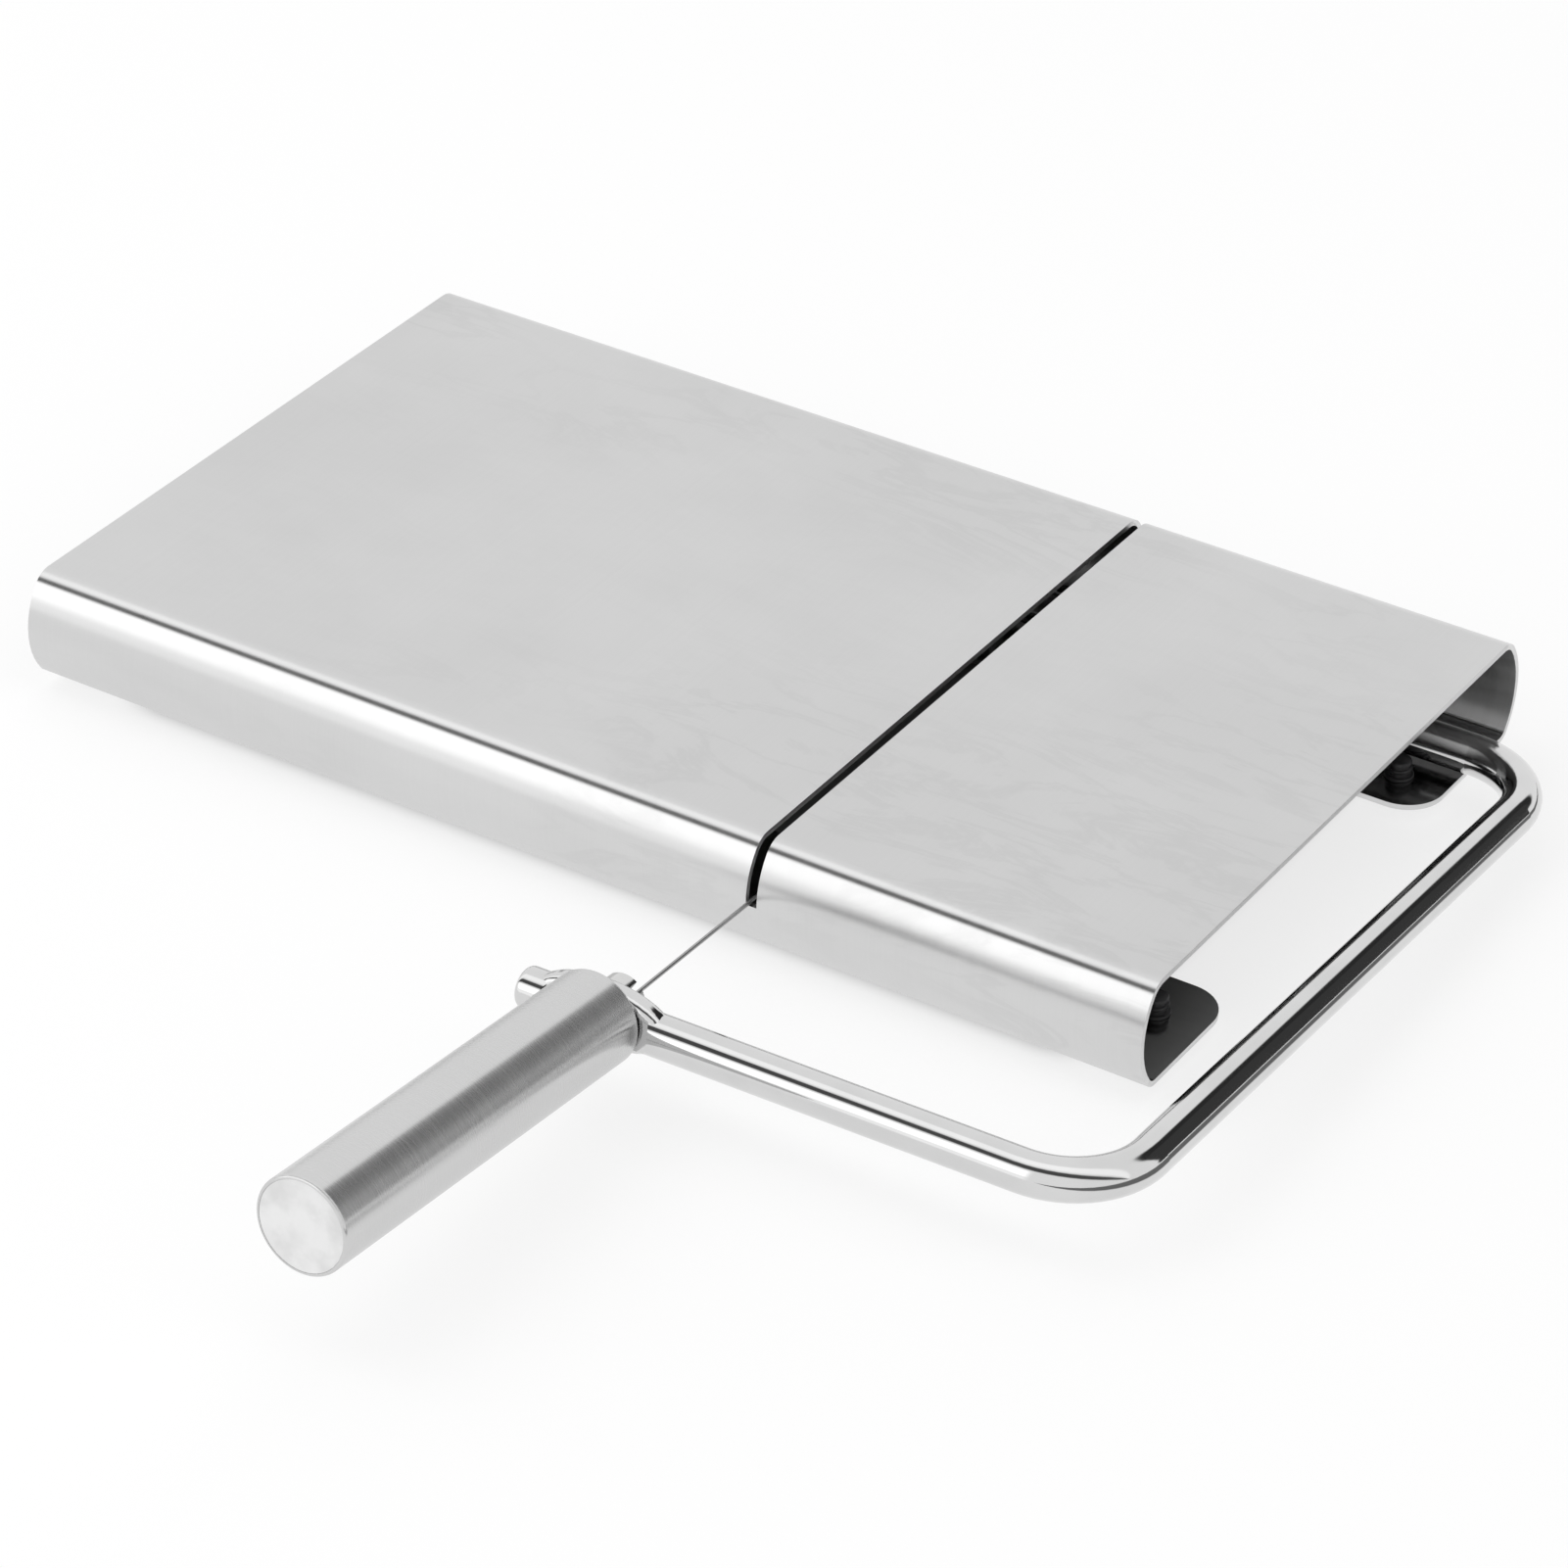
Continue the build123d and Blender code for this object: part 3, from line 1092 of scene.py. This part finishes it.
@dataclass(frozen=True)
class Floor:
    """A plain pale floor that keeps a soft shadow and shows white in the metal.

    In the metal it has a painted dark reflection along one stretch on the right. Close under the
    board its glow is blackened, a painted shade.
    """

    size: float = 3.0
    greys: Span = (0.94, 0.96)
    mottle: Noise = Noise(scale=3.0)
    roughness: float = 0.9
    camera_glow: float = 0.75
    mirror_glow: float = 0.85
    # Half reach along X and Y of the floor's blackened glow under the board, a painted shade
    painted_shade_reach: tuple[float, float] = (0.085, 0.05)
    painted_shade_softness: float = 0.01
    # Where and how dark the painted dark reflection is: the floor goes dark only as the metal sees
    # it, along one stretch on the right
    dark_start: Span = (0.147, 0.157)
    dark_end: Span = (0.26, 0.34)
    dark_level: float = 0.04

    def build(self) -> None:
        """Lays the floor, which is no part of the object."""
        bpy.ops.mesh.primitive_plane_add(size=self.size, location=(0.0, 0.0, 0.0))
        floor = bpy.context.object
        floor.name = "floor"
        dress(floor, self.make_material())

    def make_material(self) -> bpy.types.Material:
        """Makes the floor glow for the camera and for reflections, and not for shadows.

        Returns:
            The material.
        """
        bench = MaterialBench.start("pale_floor")
        dark, light = (shade(grey(tone)) for tone in self.greys)
        bench.shine("Base Color", bench.mix(bench.noise(bench.spot, self.mottle), dark, light))
        bench.shine("Roughness", self.roughness)
        bench.shine("Specular IOR Level", 0.0)
        paths = bench.add("ShaderNodeLightPath").outputs
        seen = bench.math("MULTIPLY", paths["Is Camera Ray"], self.camera_glow)
        share = bench.math("MULTIPLY_ADD", paths["Is Glossy Ray"], self.mirror_glow, seen)
        glow = bench.add("ShaderNodeEmission")
        bench.feed(glow.inputs["Color"], self.glow_color(bench, paths["Is Glossy Ray"]))
        blend = bench.add("ShaderNodeMixShader")
        for socket, source in zip(blend.inputs, (share, bench.shader.outputs[0], glow.outputs[0])):
            bench.feed(socket, source)
        surface = bench.tree.nodes["Material Output"].inputs["Surface"]
        bench.feed(surface, blend.outputs[0])
        return bench.material

    def glow_color(self, bench: MaterialBench, in_metal: Socket) -> Socket:
        """Works out the glow's colour: white, with a painted dark reflection on one side in the
        metal and black painted shade under the board.

        Args:
            bench: the material's bench.
            in_metal: 1 where the floor is seen in a reflection.

        Returns:
            The colour.
        """
        x, y, _ = bench.split(bench.spot)
        # Painted dark reflection: a stretch of floor on the right that is dark only in the metal
        start = bench.rise(x, *self.dark_start)
        side = bench.math("MULTIPLY", start, bench.fall(x, *self.dark_end))
        painted_reflection_glow = bench.span(side, 0.0, 1.0, 1.0, self.dark_level)
        # Painted shade: close under the board the glow goes black
        under = [
            bench.fall(bench.math("ABSOLUTE", across), reach, reach + self.painted_shade_softness)
            for across, reach in zip((x, y), self.painted_shade_reach)
        ]
        open_glow = bench.mix(in_metal, WHITE, painted_reflection_glow)
        return bench.mix(bench.math("MULTIPLY", *under), open_glow, BLACK)


@dataclass(frozen=True)
class Strip:
    """A long light, or the gap between two, along X; degrees run from overhead to the front."""

    low_degrees: float
    high_degrees: float
    soft_degrees: float
    level: float
    left_end: float = -1.1
    right_end: float = 1.1
    soft_ends: float = 0.08

    def mask(self, bench: Bench, x: Socket, angle: Socket) -> Socket:
        """Finds where the strip is.

        Args:
            bench: the world's bench.
            x: X of the direction that is looked in.
            angle: its angle from overhead to the front, in degrees.

        Returns:
            1 in the strip and 0 elsewhere, with soft edges.
        """
        band = bench.window(angle, self.low_degrees, self.high_degrees, self.soft_degrees)
        ends = bench.window(x, self.left_end, self.right_end, self.soft_ends)
        return bench.math("MULTIPLY", band, ends)


@dataclass(frozen=True)
class Patch:
    """A round part of the studio that is darker or brighter than the rest."""

    towards: Triple
    inner_degrees: float
    outer_degrees: float
    level: float

    def mask(self, bench: Bench, way: Socket) -> Socket:
        """Finds where the patch is.

        Args:
            bench: the world's bench.
            way: the direction that is looked in.

        Returns:
            1 in the patch and 0 elsewhere, with a soft edge.
        """
        dot = bench.add("ShaderNodeVectorMath", operation="DOT_PRODUCT")
        bench.feed(dot.inputs[0], way)
        bench.feed(dot.inputs[1], Vector(self.towards).normalized())
        outer, inner = (
            math.cos(math.radians(degrees))
            for degrees in (self.outer_degrees, self.inner_degrees)
        )
        return bench.rise(dot.outputs["Value"], outer, inner)


@dataclass(frozen=True)
class Surroundings:
    """White to the camera; to all else a pale studio with long lights and a dark side."""

    horizon: Span = (-0.05, 0.0)
    low_level: float = 0.6
    open_level: float = 1.0
    # Start, end and softness of each in degrees, and how bright it is
    strips: tuple[Strip, ...] = (
        Strip(-9.0, 13.0, 4.0, 1.3),
        Strip(20.0, 39.0, 3.0, 0.08),
        Strip(46.0, 76.0, 5.0, 1.75, left_end=-0.9, right_end=-0.12),
        Strip(78.0, 92.0, 8.0, 1.3, left_end=-0.9, right_end=-0.12),
    )
    # The way to each, its inner and outer reach in degrees, and how bright it is
    patches: tuple[Patch, ...] = (
        Patch((0.42, 0.73, 0.54), 17.5, 23.0, 0.03),
        Patch((0.56, 0.709, 0.43), 13.0, 17.0, 0.05),
        Patch((0.644, 0.709, 0.287), 10.0, 14.0, 0.05),
        Patch((0.702, 0.709, 0.06), 9.0, 13.0, 0.05),
    )

    def build(self) -> None:
        """Makes the world."""
        world = bpy.data.worlds.new("studio")
        bpy.context.scene.world = world
        world.use_nodes = True
        world.node_tree.nodes.clear()
        bench = Bench(world.node_tree)
        paths = bench.add("ShaderNodeLightPath").outputs
        background = bench.add("ShaderNodeBackground")
        seen = bench.mix(paths["Is Camera Ray"], self.brightness(bench), WHITE)
        bench.feed(background.inputs["Color"], seen)
        end = bench.add("ShaderNodeOutputWorld")
        bench.feed(end.inputs["Surface"], background.outputs[0])

    def brightness(self, bench: Bench) -> Socket:
        """Lays each strip and patch over the open studio in turn.

        Args:
            bench: the world's bench.

        Returns:
            How bright the studio is in each direction.
        """
        way = bench.add("ShaderNodeTexCoord").outputs["Generated"]
        x, y, z = bench.split(way)
        angle = bench.math("DEGREES", bench.math("ARCTAN2", bench.math("MULTIPLY", y, -1.0), z))
        shapes = [(strip.mask(bench, x, angle), strip.level) for strip in self.strips]
        shapes += [(patch.mask(bench, way), patch.level) for patch in self.patches]
        level = bench.span(z, *self.horizon, self.low_level, self.open_level)
        for inside, strength in shapes:
            change = bench.math("SUBTRACT", strength, level)
            level = bench.math("MULTIPLY_ADD", change, inside, level)
        return level


@dataclass(frozen=True)
class Lamp:
    """One large soft lamp, up and to the left, that doesn't show in the metal."""

    place: Triple = (-0.5, -0.5, 0.9)
    size: float = 0.7
    watts: float = 2.5

    def build(self) -> None:
        """Hangs the lamp and aims it at the middle of the board."""
        bpy.ops.object.light_add(type="AREA", location=self.place)
        lamp = bpy.context.object
        lamp.name = "soft_lamp"
        lamp.data.size = self.size
        lamp.data.energy = self.watts
        lamp.rotation_euler = (-lamp.location).to_track_quat("-Z", "Y").to_euler()
        lamp.visible_glossy = False


@dataclass(frozen=True)
class Camera:
    """The camera, at the photo's viewing angle and distance; angles are in degrees."""

    azimuth: float = 32.0
    elevation: float = 33.216
    roll: float = 1.0865
    eye: Triple = (0.454568, -0.722631, 0.545624)
    focal_pixels: float = 6139.5
    image_pixels: float = 1601.0
    sensor: float = 36.0
    clip_start: float = 0.01
    clip_end: float = 20.0

    def axes(self) -> Matrix:
        """Works out which way the camera looks.

        Returns:
            The camera's turn.
        """
        turn, lift, roll = map(math.radians, (self.azimuth, self.elevation, self.roll))
        flat = math.cos(lift)
        back = Vector((math.sin(turn) * flat, -math.cos(turn) * flat, math.sin(lift)))
        right = back.cross(Vector((0.0, 0.0, 1.0))).normalized() * -1.0
        up = back.cross(right)
        rolled_right = math.cos(roll) * right + math.sin(roll) * up
        rolled_up = math.cos(roll) * up - math.sin(roll) * right
        return Matrix((rolled_right, rolled_up, back)).transposed().to_4x4()

    def build(self) -> None:
        """Sets the camera up and looks through it."""
        bpy.ops.object.camera_add(location=(0.0, 0.0, 0.0))
        camera = bpy.context.object
        camera.matrix_world = Matrix.Translation(self.eye) @ self.axes()
        camera.data.sensor_width = self.sensor
        camera.data.lens = self.focal_pixels / self.image_pixels * self.sensor
        camera.data.clip_start = self.clip_start
        camera.data.clip_end = self.clip_end
        bpy.context.scene.camera = camera


@dataclass(frozen=True)
class Studio:
    """Floor, surroundings, one soft lamp and the camera."""

    floor: Floor = Floor()
    surroundings: Surroundings = Surroundings()
    lamp: Lamp = Lamp()
    camera: Camera = Camera()

    def build(self) -> None:
        """Builds the studio and sets how its colours are shown."""
        for part in (self.floor, self.surroundings, self.lamp, self.camera):
            part.build()
        bpy.context.scene.view_settings.view_transform = "Standard"


def main() -> None:
    """Builds the studio, then dresses the slicer from the board to the handle."""
    logging.basicConfig(level=logging.INFO, format="%(name)s: %(message)s")
    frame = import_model()
    bpy.ops.object.select_all(action="DESELECT")
    effects = Effects()
    Studio().build()
    for part in (Board, Bow, Tensioner, Handle):
        part(frame["nodes"], effects).build()
        LOG.info("built %s", part.__name__)


if __name__ == "__main__":
    main()
